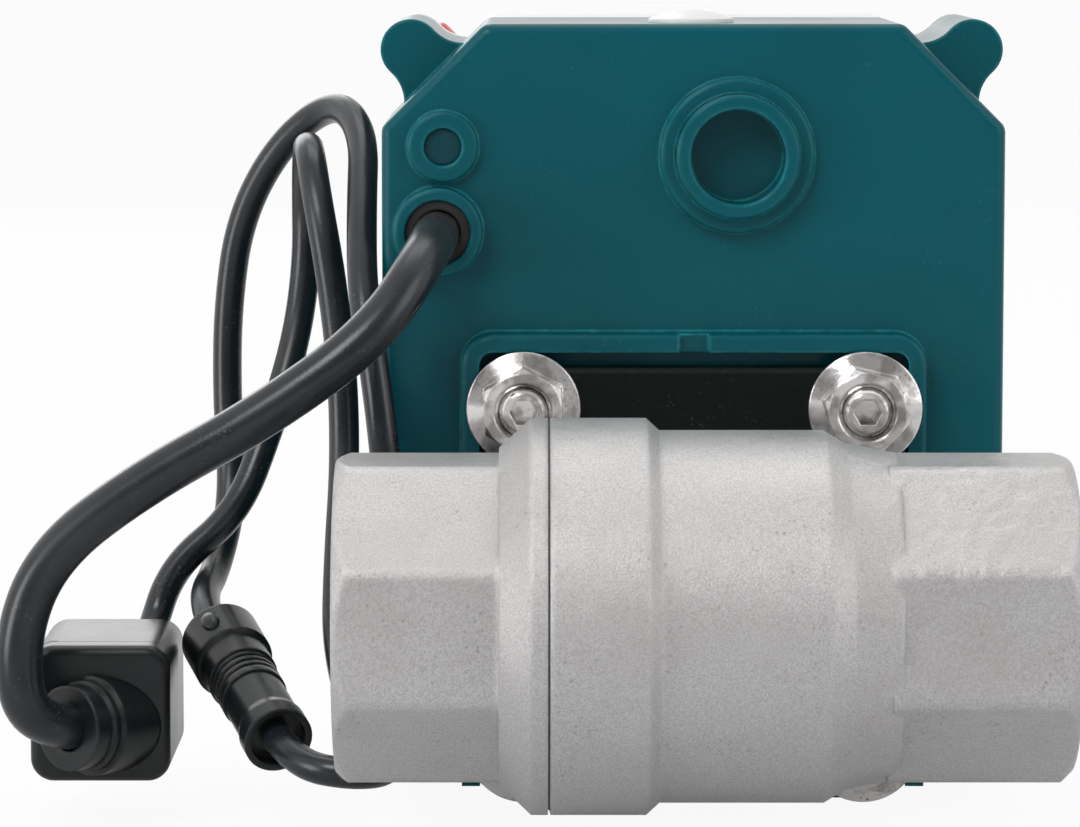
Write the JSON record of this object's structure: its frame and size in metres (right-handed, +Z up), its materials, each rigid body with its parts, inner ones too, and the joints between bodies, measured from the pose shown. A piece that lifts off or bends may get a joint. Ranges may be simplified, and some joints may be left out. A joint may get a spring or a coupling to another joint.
{
  "type": "smart water valve",
  "caption": "Motorised ball valve with threaded pipe ports, a boxy actuator bolted to its stem pad, a cable, an in-line box and a round plug connection.",
  "frame": {"origin": "centre of the left port's end face", "axes": "+X along the pipe from the left port to the right one, +Y from the valve towards the actuator along the stem, +Z up"},
  "size_m": [0.1073, 0.1015, 0.0822],
  "materials": {
    "cast_steel": "cast and bead-blasted, matt",
    "polished_steel": "polished",
    "plated_steel": "zinc plated, bright",
    "black_plate": "black oxide, satin",
    "seat": "smooth",
    "seal": "matt",
    "brass": "machined",
    "teal_plastic": "fine satin moulding",
    "white_plastic": "smooth moulding",
    "red_plastic": "smooth moulding",
    "clear_plastic": "clear",
    "gear_plastic": "moulded",
    "board": "coated board",
    "cable_jacket": "soft satin jacket",
    "black_plastic": "fine satin moulding"
  },
  "bodies": {
    "valve": {"valve_body": "cast_steel", "end_cap": "cast_steel", "body_seal": "seal", "left_seat": "seat", "right_seat": "seat", "stem_packing": "seat", "gland_nut": "brass", "bracket_plate": "black_plate", "plate_screws": "plated_steel", "mounting_studs": "plated_steel", "flange_nuts": "plated_steel", "housing_base": "teal_plastic", "housing_gasket": "seal", "cover": "white_plastic", "cover_screws": "plated_steel", "indicator_window": "clear_plastic", "vent_plug": "teal_plastic", "gear_plate": "plated_steel", "upper_plate": "plated_steel", "gear_posts": "plated_steel", "gear_axles": "polished_steel", "motor": "plated_steel", "limit_switches": "black_plastic", "board_posts": "plated_steel", "control_board": "board", "board_parts": "black_plastic", "cable_grommet": "seal", "main_cable": "cable_jacket", "cable_relief": "black_plastic", "module_lid": "black_plastic", "module_case": "black_plastic", "link_lead": "cable_jacket", "supply_lead": "cable_jacket", "connection_jack": "black_plastic", "connection_lock": "black_plastic", "connection_plug": "black_plastic"},
    "rotor": {"ball": "polished_steel", "stem": "polished_steel", "output_shaft": "polished_steel", "output_gear": "gear_plastic", "cam": "black_plastic", "indicator_dial": "red_plastic"},
    "second_wheel": {"second_gear": "gear_plastic"},
    "first_wheel": {"first_gear": "gear_plastic"},
    "motor_rotor": {"motor_pinion": "brass", "motor_shaft": "polished_steel"},
    "pairing": {"pair_button": "white_plastic"},
    "clutch": {"clutch_button": "red_plastic"}
  },
  "joints": [
    {"name": "valve_turn", "type": "hinge", "parent": "valve", "child": "rotor", "pos_m": [0.036, 0.04, 0], "axis": [0, 1, 0], "range_deg": [0, 90]},
    {"name": "second_spin", "type": "hinge", "parent": "valve", "child": "second_wheel", "pos_m": [0.03772, 0.04, 0.02073], "axis": [0, 1, 0], "range_deg": [-305, 5]},
    {"name": "first_spin", "type": "hinge", "parent": "valve", "child": "first_wheel", "pos_m": [0.033, 0.045, 0.03433], "axis": [0, 1, 0], "range_deg": [-5, 905]},
    {"name": "motor_spin", "type": "hinge", "parent": "valve", "child": "motor_rotor", "pos_m": [0.0405, 0.05, 0.0437], "axis": [0, 1, 0], "range_deg": [-2705, 5]},
    {"name": "pair_press", "type": "slide", "parent": "valve", "child": "pairing", "axis": [0, 0, -1], "range_m": [0, 0.001], "stiffness_N_per_m": 600, "springref_m": -0.002},
    {"name": "clutch_press", "type": "slide", "parent": "valve", "child": "clutch", "axis": [0.7071, 0, -0.7071], "range_m": [0, 0.002], "stiffness_N_per_m": 800, "springref_m": -0.002}
  ],
  "couplings": [
    {"joint": "second_spin", "follows": "valve_turn", "ratio": -3.3333},
    {"joint": "first_spin", "follows": "valve_turn", "ratio": 10},
    {"joint": "motor_spin", "follows": "valve_turn", "ratio": -30}
  ]
}
